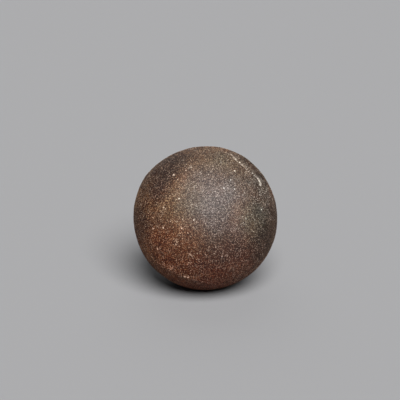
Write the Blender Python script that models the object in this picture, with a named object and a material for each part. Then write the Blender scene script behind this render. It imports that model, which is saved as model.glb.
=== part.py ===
# A moqui marble: a ball of sandstone with a hard rind of iron oxide, about 46 mm across.
#
# Metres, +Z up. The marble stands on a small flat spot at z = 0, and the origin is in the middle of
# its outline there. Its front faces -Y. A place on the marble is given by its bearing, in degrees
# from the front towards the right-hand side (+X), and its rise above the level of the middle.
#
# The ball grew inside bedded sand, so it is not quite round. It has broad low swells, shallow dents,
# and a few ledges where a harder bed of sand crosses the rind: a raised crest with a worn trough
# on one side of it.

import bmesh
import bpy
import numpy as np

NAME = "moqui_marble"

# Size
MEAN_RADIUS = 0.0230
FOOT_RADIUS = 0.0050  # of the flat spot underneath

# Mesh: a cube with this many faces along each edge, blown up to a ball
FACES_ALONG_EDGE = 28

# Broad swells: bearing, rise, height, and the angle at which the height has faded to a third
SWELLS = (
    (-103, 33, 0.00034, 24),
    (62, -22, 0.00022, 34),
    (176, 12, 0.00022, 30),
    (-38, -48, 0.00020, 26),
    (118, 58, 0.00016, 22),
    (20, 8, -0.00016, 22),
    (140, -30, -0.00028, 26),
    (-150, -12, -0.00030, 24),
    (-128, 66, -0.00018, 20),
)

# Ledges. Each follows the plane of one bed: the bed's pole, its angle from the pole, the middle of
# the stretch that stands out, how far the stretch reaches from there, and the height of its crest.
LEDGES = (
    {"pole": (118, 34), "angle": 38, "middle": (73, 53), "reach": 27, "height": 0.00014},
    {"pole": (-104, -69), "angle": 57, "middle": (-22, -33), "reach": 22, "height": 0.00012},
    {"pole": (118, 34), "angle": 64, "middle": (178, 2), "reach": 36, "height": 0.00016},
    {"pole": (118, 34), "angle": 98, "middle": (160, -58), "reach": 26, "height": 0.00014},
)
CREST_WIDTH = 0.0011
TROUGH_SHARE = 0.6  # of the crest's height
TROUGH_DISTANCE = 0.0027
TROUGH_WIDTH = 0.0017

# Dents: some by hand, as bearing, rise, depth and radius in degrees, and the rest scattered
DENTS = (
    (47, 3, 0.00016, 7),
    (-46, 47, 0.00014, 7),
    (31, -14, 0.00012, 6),
)
SCATTERED_DENTS = 26
DENT_DEPTH = (0.00006, 0.00024)
DENT_RADIUS = (3.5, 7.0)
DENT_SEED = 11

# Finish
RIND_COLOUR = (0.118, 0.068, 0.041, 1.0)
RIND_ROUGHNESS = 0.72


def directionOf(bearing, rise):
    """Unit vector from the middle of the ball to a place on it."""
    bearing, rise = np.radians(bearing), np.radians(rise)
    return np.array((
        np.sin(bearing) * np.cos(rise),
        -np.cos(bearing) * np.cos(rise),
        np.sin(rise),
    ))


def angleFrom(place, directions):
    """Angle in radians between a place and each direction."""
    return np.arccos(np.clip(directions @ place, -1.0, 1.0))


def bump(angle, width):
    """A round bump: one in the middle, and about a third at its width."""
    return np.exp(-(angle / width) ** 2)


def swells(directions):
    height = np.zeros(len(directions))
    for bearing, rise, top, width in SWELLS:
        height += top * bump(angleFrom(directionOf(bearing, rise), directions), np.radians(width))
    return height


def ledges(directions):
    """Crest and trough across the bed's plane, fading along it away from the stretch's middle."""
    height = np.zeros(len(directions))
    for ledge in LEDGES:
        away = np.radians(ledge["angle"]) - angleFrom(directionOf(*ledge["pole"]), directions)
        distance = away * MEAN_RADIUS
        crest = bump(distance, CREST_WIDTH)
        trough = TROUGH_SHARE * bump(distance - TROUGH_DISTANCE, TROUGH_WIDTH)
        along = angleFrom(directionOf(*ledge["middle"]), directions) / np.radians(ledge["reach"])
        height += ledge["height"] * (crest - trough) * np.exp(-along ** 4)
    return height


def dents(directions):
    random = np.random.default_rng(DENT_SEED)
    places = [directionOf(bearing, rise) for bearing, rise, _, _ in DENTS]
    depths = [depth for _, _, depth, _ in DENTS]
    widths = [width for _, _, _, width in DENTS]
    scattered = random.normal(size=(SCATTERED_DENTS, 3))
    places.extend(scattered / np.linalg.norm(scattered, axis=1, keepdims=True))
    depths.extend(random.uniform(*DENT_DEPTH, SCATTERED_DENTS))
    widths.extend(random.uniform(*DENT_RADIUS, SCATTERED_DENTS))
    height = np.zeros(len(directions))
    for place, depth, width in zip(places, depths, widths):
        height -= depth * bump(angleFrom(place, directions), np.radians(width))
    return height


def surfaceRadius(directions):
    """Distance from the middle of the ball to its surface in each direction."""
    return MEAN_RADIUS + swells(directions) + ledges(directions) + dents(directions)


def rindMaterial():
    material = bpy.data.materials.new("iron_rind")
    material.use_nodes = True
    shader = material.node_tree.nodes["Principled BSDF"]
    shader.inputs["Base Color"].default_value = RIND_COLOUR
    shader.inputs["Roughness"].default_value = RIND_ROUGHNESS
    shader.inputs["Metallic"].default_value = 0.0
    material.diffuse_color = RIND_COLOUR
    return material


def ballMesh():
    """A finely divided cube, its grid evened out by the tangent and pushed out to the surface."""
    form = bmesh.new()
    bmesh.ops.create_cube(form, size=2.0)
    bmesh.ops.subdivide_edges(form, edges=form.edges[:], cuts=FACES_ALONG_EDGE - 1, use_grid_fill=True)
    mesh = bpy.data.meshes.new(NAME)
    form.to_mesh(mesh)
    form.free()

    points = np.empty(len(mesh.vertices) * 3)
    mesh.vertices.foreach_get("co", points)
    even = np.tan(points.reshape(-1, 3) * np.pi / 4)
    directions = even / np.linalg.norm(even, axis=1, keepdims=True)
    surface = directions * surfaceRadius(directions)[:, None]

    # the flat spot comes at z = 0, and the middle of the outline over the origin
    down = np.array(((0.0, 0.0, -1.0),))
    footDepth = surfaceRadius(down)[0] - FOOT_RADIUS ** 2 / (2 * MEAN_RADIUS)
    middle = (surface.min(axis=0) + surface.max(axis=0)) / 2
    surface -= (middle[0], middle[1], -footDepth)
    mesh.vertices.foreach_set("co", surface.ravel())
    mesh.update()
    mesh.shade_smooth()
    return mesh


def footCutter(cutters):
    """A block whose top is the ground."""
    block = bmesh.new()
    side = 2 * MEAN_RADIUS
    bmesh.ops.create_cube(block, size=side)
    mesh = bpy.data.meshes.new("ground_block")
    block.to_mesh(mesh)
    block.free()
    cutter = bpy.data.objects.new("ground_block", mesh)
    cutter.location = (0.0, 0.0, -side / 2)
    cutter.hide_render = True
    cutter.display_type = 'WIRE'
    cutters.objects.link(cutter)
    return cutter


def main():
    for item in list(bpy.data.objects):
        bpy.data.objects.remove(item, do_unlink=True)

    parts = bpy.data.collections.new(NAME)
    cutters = bpy.data.collections.new("cutters")
    bpy.context.scene.collection.children.link(parts)
    bpy.context.scene.collection.children.link(cutters)

    marble = bpy.data.objects.new(NAME, ballMesh())
    marble.data.materials.append(rindMaterial())
    parts.objects.link(marble)

    foot = marble.modifiers.new("flat_spot", 'BOOLEAN')
    foot.operation = 'DIFFERENCE'
    foot.solver = 'EXACT'
    foot.object = footCutter(cutters)


main()
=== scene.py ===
import bpy
import numpy as np
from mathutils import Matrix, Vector


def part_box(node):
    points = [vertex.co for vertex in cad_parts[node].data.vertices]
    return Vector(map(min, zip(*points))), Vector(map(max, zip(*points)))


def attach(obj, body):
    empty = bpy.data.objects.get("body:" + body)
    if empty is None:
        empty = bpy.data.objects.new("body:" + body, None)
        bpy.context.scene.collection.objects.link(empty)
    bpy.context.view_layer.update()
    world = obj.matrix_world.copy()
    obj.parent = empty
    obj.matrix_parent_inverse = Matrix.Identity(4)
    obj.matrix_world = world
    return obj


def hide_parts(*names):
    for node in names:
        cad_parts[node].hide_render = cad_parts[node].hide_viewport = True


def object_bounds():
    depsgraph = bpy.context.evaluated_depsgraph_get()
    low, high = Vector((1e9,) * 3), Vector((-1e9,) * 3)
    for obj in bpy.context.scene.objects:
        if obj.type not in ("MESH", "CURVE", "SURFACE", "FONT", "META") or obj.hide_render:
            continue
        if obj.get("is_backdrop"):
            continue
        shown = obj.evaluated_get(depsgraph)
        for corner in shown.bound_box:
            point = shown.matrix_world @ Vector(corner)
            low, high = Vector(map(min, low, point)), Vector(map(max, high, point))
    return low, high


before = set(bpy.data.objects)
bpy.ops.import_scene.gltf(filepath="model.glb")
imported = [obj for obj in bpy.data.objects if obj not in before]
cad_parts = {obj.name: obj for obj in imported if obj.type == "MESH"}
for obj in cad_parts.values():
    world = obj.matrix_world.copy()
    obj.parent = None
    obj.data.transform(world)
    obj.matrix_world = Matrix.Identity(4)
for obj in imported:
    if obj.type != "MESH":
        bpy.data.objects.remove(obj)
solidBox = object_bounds()
solidName = "moqui_marble"
low, high = (np.array(corner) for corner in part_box(solidName))

# A place on the marble is a bearing, in degrees from the front (-Y) towards the right (+X), and a rise.
ball = {
    "meanRadius": 0.0230,
    "footRadius": 0.0050,  # of the flat spot underneath
    # bearing, rise, height, and the angle at which the height has faded to a third
    "swells": (
        (-103, 33, 0.00034, 24),
        (62, -22, 0.00022, 34),
        (176, 12, 0.00022, 30),
        (-38, -48, 0.00020, 26),
        (118, 58, 0.00016, 22),
        (20, 8, -0.00016, 22),
        (140, -30, -0.00028, 26),
        (-150, -12, -0.00030, 24),
        (-128, 66, -0.00018, 20),
    ),
    # each follows the plane of a bed of sand, and stands out for a stretch
    "ledges": (
        {"pole": (118, 34), "angle": 38, "middle": (73, 53), "reach": 27, "height": 0.00014},
        {"pole": (-104, -69), "angle": 57, "middle": (-22, -33), "reach": 22, "height": 0.00012},
        {"pole": (118, 34), "angle": 64, "middle": (178, 2), "reach": 36, "height": 0.00016},
        {"pole": (118, 34), "angle": 98, "middle": (160, -58), "reach": 26, "height": 0.00014},
    ),
    "crestWidth": 0.0011,
    "troughShare": 0.6,
    "troughDistance": 0.0027,
    "troughWidth": 0.0017,
    "dents": (
        (47, 3, 0.00016, 7),
        (-46, 47, 0.00014, 7),
        (31, -14, 0.00012, 6),
    ),
    "scatteredDents": 26,
    "dentDepth": (0.00006, 0.00024),
    "dentRadius": (3.5, 7.0),
    "dentSeed": 11,
}


def directionOf(bearing, rise):
    bearing, rise = np.radians(bearing), np.radians(rise)
    return np.stack((
        np.sin(bearing) * np.cos(rise),
        -np.cos(bearing) * np.cos(rise),
        np.sin(rise) + 0 * bearing,
    ), axis=-1)


def angleFrom(place, directions):
    return np.arccos(np.clip(directions @ place, -1.0, 1.0))


def bump(distance, width):
    # e to the minus (distance / width) squared
    return np.exp(-(distance / width) ** 2)


def alongLedge(ledge, directions):
    # distance across the crest line in metres, and how strongly the ledge stands out there
    away = np.radians(ledge["angle"]) - angleFrom(directionOf(*ledge["pole"]), directions)
    along = angleFrom(directionOf(*ledge["middle"]), directions) / np.radians(ledge["reach"])
    return away * ball["meanRadius"], np.exp(-along ** 4)


def formRadius(directions):
    # mean radius, plus a round bump for each swell, a crest and its trough for each ledge,
    # less a round bump for each dent
    radius = np.full(len(directions), ball["meanRadius"])
    for bearing, rise, height, width in ball["swells"]:
        radius += height * bump(angleFrom(directionOf(bearing, rise), directions), np.radians(width))
    for ledge in ball["ledges"]:
        across, strength = alongLedge(ledge, directions)
        trough = bump(across - ball["troughDistance"], ball["troughWidth"])
        crest = bump(across, ball["crestWidth"])
        radius += ledge["height"] * strength * (crest - ball["troughShare"] * trough)
    random = np.random.default_rng(ball["dentSeed"])
    count = ball["scatteredDents"]
    scattered = random.normal(size=(count, 3))
    scattered /= np.linalg.norm(scattered, axis=1, keepdims=True)
    depths = random.uniform(*ball["dentDepth"], count)
    widths = random.uniform(*ball["dentRadius"], count)
    dents = [(directionOf(bearing, rise), depth, width) for bearing, rise, depth, width in ball["dents"]]
    for place, depth, width in dents + list(zip(scattered, depths, widths)):
        radius -= depth * bump(angleFrom(place, directions), np.radians(width))
    return radius


def hashed(cells, salt):
    # a repeatable number from 0 to 1 for each whole-numbered cell
    x, y, z = (cells.astype(np.int64) & 0xFFFF).T
    n = (x * 73856093 ^ y * 19349663 ^ z * 83492791 ^ salt * 2654435761) & 0xFFFFFFFF
    n = (n ^ (n >> 15)) * 2246822519 & 0xFFFFFFFF
    n = (n ^ (n >> 13)) * 3266489917 & 0xFFFFFFFF
    return (n ^ (n >> 16)) / 0xFFFFFFFF


def softNoise(points, size, salt):
    # random values on a grid of this size, blended between the eight nearest corners, from -1 to 1
    at = points / size
    cell = np.floor(at)
    part = at - cell
    part = part * part * (3 - 2 * part)
    total = np.zeros(len(points))
    for corner in np.ndindex(2, 2, 2):
        weight = np.prod(np.where(corner, part, 1 - part), axis=1)
        total += weight * hashed(cell + corner, salt)
    return 2 * total - 1


rind = {
    "cellsAlongEdge": 84,  # of each of the six sheets
    "relief": ((0.0042, 0.00007), (0.0019, 0.00004), (0.0009, 0.00003)),  # size and height of its lumps
    "mapMargin": 0.012,
}


def rindRadius(directions):
    # the form, plus soft noise at each of a few sizes
    radius = formRadius(directions)
    for salt, (size, height) in enumerate(rind["relief"]):
        radius += height * softNoise(directions * ball["meanRadius"], size, salt)
    return radius


def sheetDirections(lattice, cells):
    # a point of the cube's grid, evened out by the tangent of an eighth of a turn and set to length one
    even = np.tan(lattice / cells * np.pi / 4)
    return even / np.linalg.norm(even, axis=1, keepdims=True)


def placed(directions, radius):
    # out from the middle of the ball, and cut off flat where it stands
    points = middle + directions * radius[:, None]
    points[:, 2] = np.maximum(points[:, 2], low[2])
    return points


def middleOfBall():
    # the ball's box has the solid's box, and its flat spot is where the solid's is
    cells = 60
    grid = cubeLattice(cells)[0]
    surface = sheetDirections(grid, cells)
    surface = surface * formRadius(surface)[:, None]
    offset = (low + high) / 2 - (surface.min(axis=0) + surface.max(axis=0)) / 2
    footDepth = formRadius(np.array(((0.0, 0.0, -1.0),)))[0]
    footDepth -= ball["footRadius"] ** 2 / (2 * ball["meanRadius"])
    return np.array((offset[0], offset[1], low[2] + footDepth))


def cubeLattice(cells):
    # six square sheets: facing + i * across + j * up, with i and j from -cells to cells in steps of two
    i, j = np.meshgrid(np.arange(-cells, cells + 1, 2), np.arange(-cells, cells + 1, 2))
    i, j = i.ravel()[:, None], j.ravel()[:, None]
    corner = np.arange(cells + 1)[:-1]
    first = (corner[:, None] * (cells + 1) + corner).ravel()
    quad = np.stack((first, first + 1, first + cells + 2, first + cells + 1), axis=1)
    points, quads, places = [], [], []
    for number, axis in enumerate(np.repeat((0, 1, 2), 2)):
        facing, across, up = np.roll(np.eye(3, dtype=int), axis, axis=0)
        if number % 2:
            facing, across = -facing, -across
        quads.append(quad + number * len(i))
        points.append(cells * facing + i * across + j * up)
        spot = np.concatenate((i, j), axis=1) / (2 * cells) + 0.5
        spot = rind["mapMargin"] + spot * (1 - 2 * rind["mapMargin"])
        places.append((spot + (number % 3, number // 3)) / (3, 2))
    return np.concatenate(points), np.concatenate(quads), np.concatenate(places)


def meshObject(name, points, faces, spots, marks, smooth=True):
    # spots is the map, one for each corner of a face, and marks are values for each point
    mesh = bpy.data.meshes.new(name)
    mesh.from_pydata(points, [], faces)
    mesh.uv_layers.new(name="OFBake").uv.foreach_set("vector", spots.astype(np.float32).ravel())
    for mark, values in marks.items():
        layer = mesh.attributes.new(mark, 'FLOAT', 'POINT')
        layer.data.foreach_set("value", values.astype(np.float32))
    mesh.polygons.foreach_set("use_smooth", np.full(len(mesh.polygons), smooth))
    thing = bpy.data.objects.new(name, mesh)
    bpy.context.scene.collection.objects.link(thing)
    return thing


def makeRind():
    cells = rind["cellsAlongEdge"]
    lattice, quads, spots = cubeLattice(cells)
    welded, which = np.unique(lattice, axis=0, return_inverse=True)
    directions = sheetDirections(welded, cells)
    points = placed(directions, rindRadius(directions))
    faces = which.ravel()[quads]
    marks = {"dust": 0.5 * crestDust(directions), "worn": wornShare(directions)}
    return meshObject("rind", points, faces.tolist(), spots[quads.ravel()], marks)


sand = {
    "spacing": 0.00031,
    "jitter": 0.50,  # of the spacing
    "size": 0.00029,  # across
    "sizeSpread": 0.18,
    "sizeLimits": (0.00018, 0.00050),
    "flatness": (0.37, 0.46),  # height as a share of width, on worn patches and elsewhere
    "contrast": (1.25, 1.70),  # of the draw between pale and dark kinds, on worn patches and elsewhere
    "wornEven": 0.90,  # how far draws on worn patches move to one of two, pale or dark
    "wornTones": (0.12, 1.08),  # those two draws
    "wornPaleShare": 0.66,  # of the grains there move to the pale one
    "sunk": 0.10,  # of the half height
    "tilt": 0.08,  # in radians, how far grains lean
    "roughness": 0.16,  # how far corners are out of round
    "stretch": (0.82, 1.2),  # length to width
    "clustering": (0.12, 0.0022),  # how far noise moves the draws, and its size
    "dustSpread": (0.1, 1.5),  # share of the crests' dust that single grains take
    "footGap": 0.00025,  # grains lower than this above the ground are left out
    "mapShare": 0.36,  # half of a grain's width in its square of the map
    "kept": 0.86,
    "seed": 23,
}

# kind of grain: share of the grains
kinds = {
    "quartz_grains": 0.10,
    "stained_grains": 0.225,
    "rusty_grains": 0.225,
    "brown_grains": 0.225,
    "iron_grains": 0.225,
}

# patches worn smooth and even: bearing, rise and reach in degrees
wornPatches = ((4, 36, 34), (-172, 26, 32), (118, -22, 26), (-112, 4, 24))

# patches of painted shade near the rim, where dark kinds lie more often: bearing, rise and reach in
# degrees, and by how much
paintedShadePatches = (
    (94, 2, 26, 0.34),
    (104, 46, 24, 0.24),
    (52, -14, 18, 0.14),
    (-66, 60, 18, 0.16),
    (-176, 74, 16, 0.14),
)

# crests worn pale: which ledge, how wide the dust, how strong, and how many small quartz grains lie on it
paleCrests = (
    {"ledge": 0, "width": 0.00060, "strength": 0.25, "grains": 20},
    {"ledge": 1, "width": 0.00110, "strength": 0.14, "grains": 60},
    {"ledge": 2, "width": 0.00070, "strength": 0.70, "grains": 110},
    {"ledge": 3, "width": 0.00100, "strength": 0.14, "grains": 60},
)

# a thin pale line through these bearings and rises, with clumps along it
paleStreak = {
    "path": (
        (85, 74), (79, 69), (71, 65), (68, 61), (66, 57), (65, 53),
        (66, 50), (68, 46), (69, 42), (68, 38), (66, 35),
    ),
    "width": 0.00032,
    "wander": (0.00022, 0.0013),  # how far off the path, and the size of its bends
    "strength": 0.50,
    "brokenUp": (0.25, 0.8, 0.1),  # evenness, share of the gaps' noise, and the least that is left
    "grains": 46,
    "grainSpread": 0.9,  # of the width
}

# noise that leaves gaps in the dust: its middle, then strength and size of its broad and fine parts
dustGaps = {"middle": 0.15, "broad": (1.1, 0.0028), "fine": (0.9, 0.0007)}

# small quartz grains on crests, streak and pale spots: their width, tone, and spread as a share of reach
looseQuartz = {"size": (0.00022, 0.00042), "tone": (0.1, 0.6), "spread": 0.5}
plainQuartzTone = 0.25  # most that the other quartz grains have

# loose groups of small quartz grains: bearing, rise, reach in degrees, and how many
paleSpots = (
    (-31, -24, 4.0, 16), (-17, -33, 3.5, 12), (-7, -32, 3.0, 8), (-12, -12, 4.5, 14),
    (-40, -24, 4.0, 9), (-49, -21, 3.5, 7), (61, 33, 2.6, 7), (-29, 60, 3.2, 9), (-47, 50, 3.2, 8),
    (66, 37, 1.6, 12), (70, 41, 1.4, 8), (66, 57, 1.5, 5), (-22, 1, 4.0, 8), (31, 15, 3.5, 8),
    (150, 40, 4.0, 12), (-170, 8, 4.5, 14), (120, -14, 4.0, 10), (-130, 38, 3.5, 9),
    (-100, -8, 4.0, 10), (170, -34, 4.5, 12), (-146, -30, 4.0, 9), (96, 12, 3.0, 6), (68, 38, 1.8, 12),
    (82, 69, 1.2, 6), (70, 66, 1.2, 7), (65, 62, 1.2, 6), (69, 41, 1.2, 9), (-30, -26, 2.2, 12),
    (-10, -10, 3.2, 10), (-10, -18, 2.6, 6), (-23, -1, 3.0, 7), (-40, -10, 2.2, 5), (-26, 61, 2.2, 7),
    (-17, -33, 2.4, 8),
)

# large clean quartz grains that catch the light, as bearing, rise and width
glints = (
    (-42, 51, 0.00088), (-34, 9, 0.00055), (66, 36, 0.00078), (-24, 33, 0.00066), (69, 39, 0.00070),
    (43, 55, 0.00072), (-18, 11, 0.00048), (-44, 6, 0.00064), (-16, -34, 0.00070), (-19, -33, 0.00068),
    (-28, 57, 0.00058), (68, 47, 0.00060), (19, 42, 0.00058), (67, 60, 0.00054), (68, 64, 0.00056),
    (-9, 18, 0.00046), (-37, 5, 0.00046), (53, 19, 0.00034), (-23, 61, 0.00048), (65, 57, 0.00050),
    (30, 40, 0.00044), (34, 16, 0.00046), (13, -11, 0.00050), (-33, 48, 0.00046), (-40, -10, 0.00052),
    (-31, -27, 0.00056), (-13, -28, 0.00054), (-22, 0, 0.00046), (-13, -17, 0.00050),
    (-11, -10, 0.00046), (57, 30, 0.00048), (-28, 15, 0.00044), (8, -3, 0.00044), (-13, 8, 0.00044),
    (64, 50, 0.00046), (30, 48, 0.00044), (-37, 24, 0.00038), (-18, 18, 0.00042), (-19, 7, 0.00042),
    (132, 22, 0.00056), (-165, 34, 0.00054), (-118, 12, 0.00050), (164, -8, 0.00050),
    (-140, -18, 0.00048), (108, 46, 0.00050), (176, 60, 0.00046), (-96, 40, 0.00048),
)


def wornShare(directions):
    # the largest of the round bumps of the worn patches
    bumps = [bump(angleFrom(directionOf(bearing, rise), directions), np.radians(reach))
             for bearing, rise, reach in wornPatches]
    return np.max(bumps, axis=0)


def paintedShadeShare(directions):
    # the round bumps of the patches of painted shade added up
    return sum(amount * bump(angleFrom(directionOf(bearing, rise), directions), np.radians(reach))
               for bearing, rise, reach, amount in paintedShadePatches)


def betweenWorn(limits, worn):
    # the first value on worn patches, blending to the second away from them
    return limits[1] + (limits[0] - limits[1]) * worn


def offPath(path, directions):
    # distance in metres to the nearest of the straight runs between these places
    corners = np.array([directionOf(*place) for place in path])
    nearest = np.full(len(directions), np.inf)
    for start, end in zip(corners, corners[1:]):
        run = end - start
        along = np.clip((directions - start) @ run / (run @ run), 0, 1)
        nearest = np.minimum(nearest, np.linalg.norm(directions - start - along[:, None] * run, axis=1))
    return nearest * ball["meanRadius"]


def crestDust(directions):
    # how pale each crest and the streak are: a narrow bump across them, broken up by noise along them
    dust = np.zeros(len(directions))
    points = directions * ball["meanRadius"]
    (broadShare, broadSize), (fineShare, fineSize) = dustGaps["broad"], dustGaps["fine"]
    broken = dustGaps["middle"] + broadShare * softNoise(points, broadSize, 31)
    broken = broken + fineShare * softNoise(points, fineSize, 32)
    for crest in paleCrests:
        across, strength = alongLedge(ball["ledges"][crest["ledge"]], directions)
        dust += crest["strength"] * strength ** 3 * bump(across, crest["width"]) * np.clip(broken, 0, 1)
    wander, bends = paleStreak["wander"]
    across = offPath(paleStreak["path"], directions) + wander * softNoise(points, bends, 33)
    even, gaps, least = paleStreak["brokenUp"]
    streak = paleStreak["strength"] * bump(across, paleStreak["width"])
    streak = streak * np.clip(even + gaps * broken, least, 1)
    return np.clip(dust + streak, 0, 1)


def spread(count, random, jitter):
    # a spiral from pole to pole that steps by the golden angle, each point moved a little at random
    step = np.arange(count) + 0.5
    rise = 1 - 2 * step / count
    turn = step * np.pi * (3 - np.sqrt(5))
    flat = np.sqrt(1 - rise ** 2)
    directions = np.stack((flat * np.cos(turn), flat * np.sin(turn), rise), axis=1)
    directions += jitter * random.uniform(-1, 1, (count, 3))
    return directions / np.linalg.norm(directions, axis=1, keepdims=True)


def scatteredQuartz(random):
    # places along each pale crest, turned about the bed's pole from the middle of the stretch, then
    # places along the streak, and places round the middle of each pale spot
    places = []
    for crest in paleCrests:
        ledge = ball["ledges"][crest["ledge"]]
        pole, stretch = directionOf(*ledge["pole"]), directionOf(*ledge["middle"])
        across = np.cross(pole, stretch)
        across /= np.linalg.norm(across)
        outward = np.cross(across, pole)
        tilt = np.radians(ledge["angle"])
        count = crest["grains"]
        turn = np.radians(ledge["reach"]) / np.sin(tilt) * random.normal(0, looseQuartz["spread"], count)
        tilt = tilt + random.normal(0, crest["width"] / ball["meanRadius"], count)
        ring = outward * np.cos(turn)[:, None] + across * np.sin(turn)[:, None]
        places.append(pole * np.cos(tilt)[:, None] + ring * np.sin(tilt)[:, None])
    corners = np.array([directionOf(*place) for place in paleStreak["path"]])
    along = random.uniform(0, len(corners) - 1, paleStreak["grains"])
    run = along.astype(int)
    streak = corners[run] + (along - run)[:, None] * (corners[run + 1] - corners[run])
    aside = random.normal(0, paleStreak["grainSpread"], streak.shape)
    places.append(streak + paleStreak["width"] / ball["meanRadius"] * aside)
    for bearing, rise, reach, count in paleSpots:
        aside = random.normal(0, looseQuartz["spread"], (count, 3))
        places.append(directionOf(bearing, rise) + np.radians(reach) * aside)
    places = np.concatenate(places)
    return places / np.linalg.norm(places, axis=1, keepdims=True)


def grainShape():
    # fourteen sides: a top point over a ring of four corners, a wider ring of four turned by half a
    # step below it, and a flat square underneath
    turns = np.radians((0, 90, 180, 270))
    upper = np.stack((0.82 * np.cos(turns), 0.82 * np.sin(turns), np.full(4, 0.52)), axis=1)
    turns = turns + np.radians(45)
    lower = np.stack((np.cos(turns), np.sin(turns), np.full(4, -0.40)), axis=1)
    corners = np.concatenate(([(0.0, 0.0, 1.0)], upper, lower))
    step, after = np.arange(4), (np.arange(4) + 1) % 4
    crown = np.stack((np.zeros(4, int), 1 + step, 1 + after), axis=1)
    down = np.stack((1 + step, 5 + step, 1 + after), axis=1)
    over = np.stack((5 + step, 5 + after, 1 + after), axis=1)
    return corners, np.concatenate((crown, down, over, ((5, 7, 6), (5, 8, 7))))


def grainMesh(name, directions, widths, tones, random):
    # each grain is the shape with its corners moved a little, flattened along the way out, turned at
    # random, and sunk into the rind
    corners, sides = grainShape()
    count = len(directions)
    local = corners * (1 + sand["roughness"] * random.uniform(-1, 1, (count, len(corners), 1)))
    stretch = random.uniform(*sand["stretch"], (count, 1))
    half = widths[:, None, None] / 2
    flatness = betweenWorn(sand["flatness"], wornShare(directions))
    local = local * half * np.stack((stretch, 1 / stretch, flatness[:, None]), axis=2)

    reference = np.where(np.abs(directions[:, 2:]) < 0.9, ((0.0, 0.0, 1.0),), ((1.0, 0.0, 0.0),))
    across = np.cross(reference, directions)
    across /= np.linalg.norm(across, axis=1, keepdims=True)
    up = np.cross(directions, across)
    turn = random.uniform(0, 2 * np.pi, (count, 1))
    first = across * np.cos(turn) + up * np.sin(turn)
    second = np.cross(directions, first)
    tilt = random.normal(0, sand["tilt"], (2, count, 1))
    outward = directions + first * tilt[0] + second * tilt[1]
    outward /= np.linalg.norm(outward, axis=1, keepdims=True)
    first = np.cross(second, outward)
    first /= np.linalg.norm(first, axis=1, keepdims=True)
    second = np.cross(outward, first)

    sunk = rindRadius(directions) - sand["sunk"] * flatness * widths / 2
    centres = middle + directions * sunk[:, None]
    points = centres[:, None] + local[:, :, :1] * first[:, None] + local[:, :, 1:2] * second[:, None]
    points = points + local[:, :, 2:] * outward[:, None]
    points[:, :, 2] = np.maximum(points[:, :, 2], low[2])

    # each grain has a small square of the map to itself
    columns = int(np.ceil(np.sqrt(count)))
    square = np.stack((np.arange(count) % columns, np.arange(count) // columns), axis=1)[:, None] + 0.5
    spot = (square + sand["mapShare"] * corners[None, :, :2]) / columns
    faces = (sides[None] + len(corners) * np.arange(count)[:, None, None]).reshape(-1, 3)
    dust = np.clip(crestDust(directions) * random.uniform(*sand["dustSpread"], count), 0, 1)
    marks = {"tone": tones, "dust": dust, "worn": wornShare(directions)}
    marks = {mark: np.repeat(values, len(corners)) for mark, values in marks.items()}
    spots = spot.reshape(-1, 2)[faces.ravel()]
    return meshObject(name, points.reshape(-1, 3), faces.tolist(), spots, marks, smooth=False)


def makeGrains():
    random = np.random.default_rng(sand["seed"])
    area = 4 * np.pi * ball["meanRadius"] ** 2
    count = int(area / sand["spacing"] ** 2)
    directions = spread(count, random, sand["jitter"] * sand["spacing"] / ball["meanRadius"])
    directions = directions[random.uniform(size=count) < sand["kept"]]
    count = len(directions)
    widths = sand["size"] * np.exp(random.normal(0, sand["sizeSpread"], count))
    widths = np.clip(widths, *sand["sizeLimits"])
    above = middle[2] + directions[:, 2] * ball["meanRadius"] - low[2] > sand["footGap"]
    # each grain's draw decides its kind, from pale to dark. Worn patches and patches of painted shade move
    # it, and soft noise moves it up or down, so that kinds keep a little to themselves.
    worn = wornShare(directions)
    draw = random.uniform(-0.5, 0.5, count)
    drawn = 0.5 + betweenWorn(sand["contrast"], worn) * draw
    twoTones = np.where(draw + 0.5 < sand["wornPaleShare"], *sand["wornTones"])
    drawn += sand["wornEven"] * worn * (twoTones - drawn) + paintedShadeShare(directions)
    amount, size = sand["clustering"]
    drawn += amount * softNoise(directions * ball["meanRadius"], size, 41)
    order = np.argsort(np.argsort(drawn)) / count
    edges = np.cumsum((0,) + tuple(kinds.values()))
    made = []
    for number, name in enumerate(kinds):
        chosen = above & (order >= edges[number]) & (order < edges[number + 1])
        places, across = directions[chosen], widths[chosen]
        tones = random.uniform(0, 1, len(places))
        if name == "quartz_grains":
            extra = scatteredQuartz(random)
            places = np.concatenate((places, extra, [directionOf(b, r) for b, r, _ in glints]))
            small = random.uniform(*looseQuartz["size"], len(extra))
            across = np.concatenate((across, small, [width for _, _, width in glints]))
            extraTones = random.uniform(*looseQuartz["tone"], len(extra))
            tones = np.concatenate((plainQuartzTone * tones, extraTones, np.ones(len(glints))))
        made.append(grainMesh(name, places, across, tones, random))
        print(name, len(places), "grains")
    return made


def addNode(tree, kind, inputs, **settings):
    # a socket as an input is linked, anything else is set
    node = tree.nodes.new(kind)
    for name, value in settings.items():
        setattr(node, name, value)
    for name, value in inputs.items():
        if isinstance(value, bpy.types.NodeSocket):
            tree.links.new(value, node.inputs[name])
        else:
            node.inputs[name].default_value = value
    return node


def newGroup(name, inputs, outputs):
    tree = bpy.data.node_groups.new(name, 'ShaderNodeTree')
    for direction, sockets in (('INPUT', inputs), ('OUTPUT', outputs)):
        for socket, kind in sockets.items():
            tree.interface.new_socket(name=socket, in_out=direction, socket_type=kind)
    return tree, tree.nodes.new('NodeGroupInput').outputs, tree.nodes.new('NodeGroupOutput').inputs


def mixColour(tree, blend, share, first, second):
    inputs = {0: share, 6: first, 7: second}
    return addNode(tree, 'ShaderNodeMix', inputs, data_type='RGBA', blend_type=blend).outputs[2]


def rampBetween(tree, value, start, end):
    # 0 at the start and 1 at the end, eased at both
    inputs = {"Value": value, "From Min": start, "From Max": end}
    return addNode(tree, 'ShaderNodeMapRange', inputs, interpolation_type='SMOOTHSTEP').outputs[0]
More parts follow.
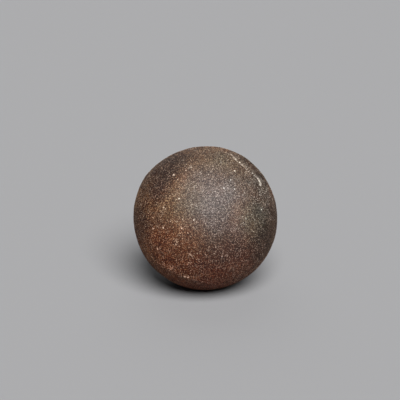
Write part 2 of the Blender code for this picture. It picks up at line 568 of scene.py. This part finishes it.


# how the stone is stained, with painted light and shade in some patches as marked below: bearing, rise and
# reach of each patch, and the colour it is multiplied by
stainsAndPaintedLight = {
    "ochre_top": ((-4, 75), 30, (0.81, 0.97, 1.00)),
    "tan_upper_right": ((53, 61), 26, (0.84, 1.11, 1.30)),
    # partly a grey bloom on the stone, partly a painted sheen where the highlight falls
    "grey_bloom_and_painted_sheen": ((3, 37), 36, (0.64, 0.88, 1.33)),
    "olive_right": ((63, 28), 32, (0.74, 0.99, 1.36)),
    "olive_dark": ((44, 11), 24, (0.58, 0.91, 1.07)),
    # painted shade: the right flank darkened where the rim turns from the light
    "painted_shade_right_flank": ((70, -4), 32, (0.45, 0.45, 0.45)),
    # partly a dark stain, partly painted shade on the upper left rim
    "dark_stain_and_painted_shade_upper_left": ((-75, 50), 34, (0.45, 0.45, 0.45)),
    "tan_shoulder": ((-25, 33), 26, (1.11, 1.18, 1.01)),
    "ochre_left": ((-32, 16), 28, (1.08, 1.14, 1.16)),
    "brown_left_edge": ((-66, 23), 28, (1.01, 0.86, 0.53)),
    # painted shade: the left edge darkened
    "painted_shade_left_edge": ((-66, 2), 26, (0.50, 0.46, 0.46)),
    # partly rust, partly painted warm light thrown up from below
    "rust_and_painted_warm_light_lower_left": ((-54, -16), 36, (1.30, 0.93, 0.58)),
    "rust_brown": ((-24, -8), 30, (1.06, 0.75, 0.47)),
    # partly mauve colour, partly a painted sheen below the highlight
    "mauve_and_painted_sheen_middle": ((14, 22), 28, (1.03, 1.17, 1.32)),
    "tan_cheek": ((31, 13), 16, (1.36, 1.35, 1.41)),
    "dark_mauve": ((16, 1), 26, (0.58, 0.65, 0.83)),
    # partly a red stain, partly painted shade on the underside
    "red_and_painted_shade_underside": ((28, -29), 44, (0.90, 0.62, 0.60)),
    # partly maroon colour, partly painted warm light from below
    "maroon_and_painted_warm_light_bottom": ((-13, -42), 40, (1.24, 0.87, 0.61)),
    "pale_rim_right": ((68, 34), 18, (0.83, 1.04, 1.15)),
    # painted shade: the lower right darkened
    "painted_shade_lower_right": ((51, -11), 24, (0.45, 0.45, 0.45)),
    # partly a grey stain, partly painted shade on the upper left rim
    "grey_stain_and_painted_shade_upper_left": ((-60, 57), 22, (0.64, 0.55, 0.42)),
    "brown_below": ((1, -16), 16, (0.74, 0.58, 0.47)),
    "umber_brow": ((-49, 36), 15, (0.54, 0.46, 0.46)),
    # painted light: the lower left rim brightened, as a warm light from below would
    "painted_light_lower_left_rim": ((-60, -14), 18, (1.35, 1.35, 1.35)),
    # partly tan colour, partly a painted sheen brightening the middle
    "tan_and_painted_sheen_brow": ((36, 40), 15, (1.02, 1.25, 1.44)),
    # partly tan colour, partly a painted sheen brightening the middle
    "tan_and_painted_sheen_high": ((-14, 43), 18, (1.16, 1.17, 1.22)),
    # painted shade on the upper right rim
    "painted_shade_upper_right_rim": ((101, 46), 30, (0.50, 0.60, 0.70)),
    # painted shade on the upper left rim, over the top
    "painted_shade_upper_left_crown": ((-112, 66), 26, (0.72, 0.68, 0.66)),
    # painted shade on the right rim
    "painted_shade_right_rim": ((92, 0), 30, (0.44, 0.45, 0.52)),
    # partly rust, partly painted warm light on the left rim
    "rust_and_painted_warm_light_left_rim": ((-86, -12), 26, (1.12, 0.88, 0.68)),
    # partly maroon colour, partly painted shade at the foot
    "maroon_and_painted_shade_foot": ((-6, -60), 34, (0.95, 0.62, 0.48)),
    "grey_back": ((-168, 40), 42, (0.90, 1.10, 1.32)),
    "rust_back": ((150, -12), 48, (1.40, 0.92, 0.56)),
    "olive_back": ((-135, 14), 38, (0.90, 1.10, 1.22)),
    "plum_back": ((-112, -34), 40, (0.62, 0.48, 0.50)),
    "ochre_back": ((128, 38), 34, (1.14, 1.22, 1.16)),
}
patchEdge = {"scale": 270.0, "angle": 0.09}  # of the noise that makes outlines ragged, in radians
mottle = {"size": 0.0030, "noise": (0.28, 0.72), "darkest": 0.74, "palest": 1.26}  # cloudiness all over
baseTint = (1.93, 1.60, 1.20, 1.0)


def stainAndPaintedLightGroup():
    # Place is an Object coordinate. Each patch is full within a third of its reach and fades to
    # nothing at its reach, with noise added to the angle so that its outline is ragged.
    tree, given, made = newGroup("stains_and_painted_light", {"Place": 'NodeSocketVector'}, {"Tint": 'NodeSocketColor'})
    offset = {0: given["Place"], 1: tuple(middle)}
    outward = addNode(tree, 'ShaderNodeVectorMath', offset, operation='SUBTRACT')
    way = addNode(tree, 'ShaderNodeVectorMath', {0: outward.outputs[0]}, operation='NORMALIZE').outputs[0]
    edge = {"Vector": given["Place"], "Scale": patchEdge["scale"], "Detail": 4.0, "Roughness": 0.6}
    ragged = addNode(tree, 'ShaderNodeTexNoise', edge)
    limits = {"Value": ragged.outputs[0], "To Min": -patchEdge["angle"], "To Max": patchEdge["angle"]}
    shift = addNode(tree, 'ShaderNodeMapRange', limits)
    soft = {"Vector": given["Place"], "Scale": 1 / mottle["size"], "Detail": 3.0, "Roughness": 0.6}
    clouds = addNode(tree, 'ShaderNodeTexNoise', soft)
    limits = {"Value": clouds.outputs[0], "From Min": mottle["noise"][0], "From Max": mottle["noise"][1],
              "To Min": mottle["darkest"], "To Max": mottle["palest"]}
    cloudy = addNode(tree, 'ShaderNodeMapRange', limits).outputs[0]
    tint = mixColour(tree, 'MULTIPLY', 1.0, baseTint, cloudy)
    for place, reach, colour in stainsAndPaintedLight.values():
        facing = addNode(tree, 'ShaderNodeVectorMath', {0: way, 1: tuple(directionOf(*place))},
                         operation='DOT_PRODUCT')
        angle = addNode(tree, 'ShaderNodeMath', {0: facing.outputs[1]}, operation='ARCCOSINE')
        moved = addNode(tree, 'ShaderNodeMath', {0: angle.outputs[0], 1: shift.outputs[0]}, operation='ADD')
        share = rampBetween(tree, moved.outputs[0], np.radians(reach), np.radians(reach) / 3)
        stained = mixColour(tree, 'MULTIPLY', 1.0, tint, (*colour, 1.0))
        tint = mixColour(tree, 'MIX', share, tint, stained)
    tree.links.new(tint, made["Tint"])
    return tree


fineSandGap = (0.35, 0.75)  # from a grain's middle, where the gap starts and where it is full


def grainGroup():
    # Fine sand within the rind: Tone is each grain's own value, Gap is 1 between grains, Height is a dome
    tree, given, made = newGroup(
        "fine_sand",
        {"Place": 'NodeSocketVector', "Across": 'NodeSocketFloat'},
        {"Tone": 'NodeSocketFloat', "Gap": 'NodeSocketFloat', "Height": 'NodeSocketFloat'},
    )
    scale = addNode(tree, 'ShaderNodeMath', {0: 1.0, 1: given["Across"]}, operation='DIVIDE').outputs[0]
    inputs = {"Vector": given["Place"], "Scale": scale, "Randomness": 1.0}
    cells = addNode(tree, 'ShaderNodeTexVoronoi', inputs)
    tone = addNode(tree, 'ShaderNodeSeparateColor', {0: cells.outputs["Color"]})
    tree.links.new(tone.outputs[0], made["Tone"])
    gapFrom, gapFull = fineSandGap
    tree.links.new(rampBetween(tree, cells.outputs["Distance"], gapFrom, gapFull), made["Gap"])
    tree.links.new(rampBetween(tree, cells.outputs["Distance"], gapFull, 0.0), made["Height"])
    return tree


def newMaterial(name):
    material = bpy.data.materials.new(name)
    material.use_nodes = True
    tree = material.node_tree
    place = addNode(tree, 'ShaderNodeTexCoord', {}).outputs["Object"]
    return material, tree, tree.nodes["Principled BSDF"].inputs, place


def placeGroup(tree, group, inputs):
    return addNode(tree, 'ShaderNodeGroup', inputs, node_tree=group).outputs


dustColour = (0.46, 0.38, 0.31, 1.0)

rindFinish = {
    "dark": (0.012, 0.0034, 0.0018, 1.0),
    "light": (0.062, 0.0255, 0.0135, 1.0),
    "filled": (0.090, 0.056, 0.041, 1.0),  # hollows packed with dust on worn patches
    "filledShare": 0.3,
    "gap": (0.45, 0.42, 0.40, 1.0),  # between the fine grains, as a multiplier
    "grain": 0.00022,
    "grainLift": (0.7, 0.00006),  # strength and height of the bump
    "roughness": 0.55,
    "specular": 0.4,
}


def rindMaterial(stone, fineSand):
    material, tree, shader, place = newMaterial("iron_rind")
    fine = placeGroup(tree, fineSand, {"Place": place, "Across": rindFinish["grain"]})
    tint = placeGroup(tree, stone, {"Place": place})["Tint"]
    colour = mixColour(tree, 'MIX', fine["Tone"], rindFinish["dark"], rindFinish["light"])
    colour = mixColour(tree, 'MULTIPLY', fine["Gap"], colour, rindFinish["gap"])
    worn = addNode(tree, 'ShaderNodeAttribute', {}, attribute_name="worn").outputs["Fac"]
    filled = addNode(tree, 'ShaderNodeMath', {0: worn, 1: rindFinish["filledShare"]}, operation='MULTIPLY')
    colour = mixColour(tree, 'MIX', filled.outputs[0], colour, rindFinish["filled"])
    colour = mixColour(tree, 'MULTIPLY', 1.0, colour, tint)
    dust = addNode(tree, 'ShaderNodeAttribute', {}, attribute_name="dust").outputs["Fac"]
    tree.links.new(mixColour(tree, 'MIX', dust, colour, dustColour), shader["Base Color"])
    shader["Roughness"].default_value = rindFinish["roughness"]
    shader["Specular IOR Level"].default_value = rindFinish["specular"]
    strength, rise = rindFinish["grainLift"]
    bumps = {"Height": fine["Height"], "Strength": strength, "Distance": rise}
    lift = addNode(tree, 'ShaderNodeBump', bumps)
    tree.links.new(lift.outputs[0], shader["Normal"])
    return material


# dark and light colour of each kind, and how much of the stains and painted light and shade it takes
grainFinish = {
    "quartz_grains": ((0.30, 0.242, 0.198), (0.72, 0.64, 0.56), 0.25),
    "stained_grains": ((0.238, 0.178, 0.138), (0.298, 0.226, 0.177), 0.42),
    "rusty_grains": ((0.150, 0.102, 0.072), (0.208, 0.147, 0.108), 0.62),
    "brown_grains": ((0.036, 0.0155, 0.0070), (0.078, 0.041, 0.022), 0.95),
    "iron_grains": ((0.005, 0.0013, 0.0004), (0.017, 0.0058, 0.0020), 1.0),
}
grainGloss = {"roughness": (0.36, 0.62), "ior": 1.5, "specular": 0.36}  # roughness worn and elsewhere
# finer specks and pits on the grains themselves, as multipliers of their colour
grainSpeckle = {
    "across": 0.00022,
    "dark": (0.58, 0.56, 0.54, 1.0),
    "light": (1.38, 1.38, 1.38, 1.0),
    "pit": (0.36, 0.32, 0.30, 1.0),
}


def grainMaterial(name, stone, fineSand):
    dark, light, stain = grainFinish[name]
    material, tree, shader, place = newMaterial(name)
    tone = addNode(tree, 'ShaderNodeAttribute', {}, attribute_name="tone").outputs["Fac"]
    dust = addNode(tree, 'ShaderNodeAttribute', {}, attribute_name="dust").outputs["Fac"]
    worn = addNode(tree, 'ShaderNodeAttribute', {}, attribute_name="worn").outputs["Fac"]
    tint = placeGroup(tree, stone, {"Place": place})["Tint"]
    fine = placeGroup(tree, fineSand, {"Place": place, "Across": grainSpeckle["across"]})
    colour = mixColour(tree, 'MIX', tone, (*dark, 1.0), (*light, 1.0))
    colour = mixColour(tree, 'MULTIPLY', stain, colour, tint)
    speckle = mixColour(tree, 'MIX', fine["Tone"], grainSpeckle["dark"], grainSpeckle["light"])
    colour = mixColour(tree, 'MULTIPLY', 1.0, colour, speckle)
    colour = mixColour(tree, 'MULTIPLY', fine["Gap"], colour, grainSpeckle["pit"])
    tree.links.new(mixColour(tree, 'MIX', dust, colour, dustColour), shader["Base Color"])
    smooth, rough = grainGloss["roughness"]
    limits = {"Value": worn, "To Min": rough, "To Max": smooth}
    tree.links.new(addNode(tree, 'ShaderNodeMapRange', limits).outputs[0], shader["Roughness"])
    shader["IOR"].default_value = grainGloss["ior"]
    shader["Specular IOR Level"].default_value = grainGloss["specular"]
    return material


studio = {
    "floorSide": 60.0,
    "floorDrop": 0.00005,  # under the flat spot
    "floorColour": (0.245, 0.245, 0.25, 1.0),  # seen by the camera
    "floorBounce": (0.145, 0.118, 0.105, 1.0),  # what the stone gets back from it instead
    "floorRoughness": 0.8,
    "floorSpecular": 0.2,
    "skyColour": (0.98, 1.0, 1.04, 1.0),
    "skyStrength": 0.06,
    "backdrop": (0.40, 0.40, 0.405, 1.0),  # seen by the camera instead of the sky, from low down
    # bearing and rise it comes from, strength, and how wide it looks from the stone
    "key": ((15, 50), 6.1, 39),
    "fill": ((188, 48), 0.5, 60),
}

view = {
    "rise": 20.0,  # above level, in degrees
    "lens": 85.0,
    "sensor": 36.0,
    "pictureSide": 400,  # pixels
    "marbleAt": (205.3, 217.7),  # pixels from the left and the top
    "marbleWidth": 143.4,
}


def makeFloor():
    # a flat square, x and y each from minus to plus half a side
    half = studio["floorSide"] / 2
    x, y = np.meshgrid((-half, half), (-half, half))
    points = np.stack((x.ravel(), y.ravel(), np.full(4, low[2] - studio["floorDrop"])), axis=1)
    mesh = bpy.data.meshes.new("floor")
    mesh.from_pydata(points, [], [(0, 1, 3, 2)])
    floor = bpy.data.objects.new("floor", mesh)
    bpy.context.scene.collection.objects.link(floor)
    material, tree, shader, _ = newMaterial("pale_floor")
    seen = addNode(tree, 'ShaderNodeLightPath', {}).outputs["Is Camera Ray"]
    colour = mixColour(tree, 'MIX', seen, studio["floorBounce"], studio["floorColour"])
    tree.links.new(colour, shader["Base Color"])
    shader["Roughness"].default_value = studio["floorRoughness"]
    shader["Specular IOR Level"].default_value = studio["floorSpecular"]
    mesh.materials.append(material)
    floor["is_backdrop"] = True


def lookingAt(thing, target):
    thing.rotation_euler = (Vector(target) - thing.location).to_track_quat('-Z', 'Y').to_euler()


def makeLights():
    world = bpy.data.worlds.new("soft_room")
    world.use_nodes = True
    tree = world.node_tree
    background = tree.nodes["Background"]
    seen = addNode(tree, 'ShaderNodeLightPath', {}).outputs["Is Camera Ray"]
    sky = tuple(value * studio["skyStrength"] for value in studio["skyColour"][:3]) + (1.0,)
    tree.links.new(mixColour(tree, 'MIX', seen, sky, studio["backdrop"]), background.inputs["Color"])
    bpy.context.scene.world = world
    for name in ("key", "fill"):
        comesFrom, strength, width = studio[name]
        data = bpy.data.lights.new(name, 'SUN')
        data.energy = strength
        data.angle = np.radians(width)
        light = bpy.data.objects.new(name, data)
        light.location = middle + directionOf(*comesFrom)
        lookingAt(light, middle)
        bpy.context.scene.collection.objects.link(light)


def makeCamera():
    # far enough for the marble to have its width in the picture, and aimed a little off its middle
    data = bpy.data.cameras.new("camera")
    data.lens = view["lens"]
    data.sensor_width = view["sensor"]
    focal = view["pictureSide"] * view["lens"] / view["sensor"]  # in pixels
    radius = (high[0] - low[0]) / 2
    distance = radius / np.sin(np.arctan(view["marbleWidth"] / 2 / focal))
    toCamera = directionOf(0, view["rise"])
    right = np.array((1.0, 0.0, 0.0))
    up = np.cross(toCamera, right)
    fromCentre = np.array(view["marbleAt"]) - view["pictureSide"] / 2
    pixel = distance / focal
    target = middle - right * fromCentre[0] * pixel + up * fromCentre[1] * pixel
    camera = bpy.data.objects.new("camera", data)
    camera.location = middle + toCamera * distance
    lookingAt(camera, target)
    bpy.context.scene.collection.objects.link(camera)
    bpy.context.scene.camera = camera


middle = middleOfBall()
stone, fineSand = stainAndPaintedLightGroup(), grainGroup()

body = makeRind()
body.data.materials.append(rindMaterial(stone, fineSand))
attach(body, "root")
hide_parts(solidName)
print("rind made:", len(body.data.polygons), "faces")

for piece in makeGrains():
    piece.data.materials.append(grainMaterial(piece.name, stone, fineSand))
    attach(piece, "root")

makeFloor()
makeLights()
makeCamera()
bpy.context.scene.view_settings.view_transform = 'Standard'
print("floor, lights and camera made")

boxes = {"solid": solidBox, "visual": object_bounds()}
boxes = {name: [[float(x) for x in corner] for corner in box] for name, box in boxes.items()}
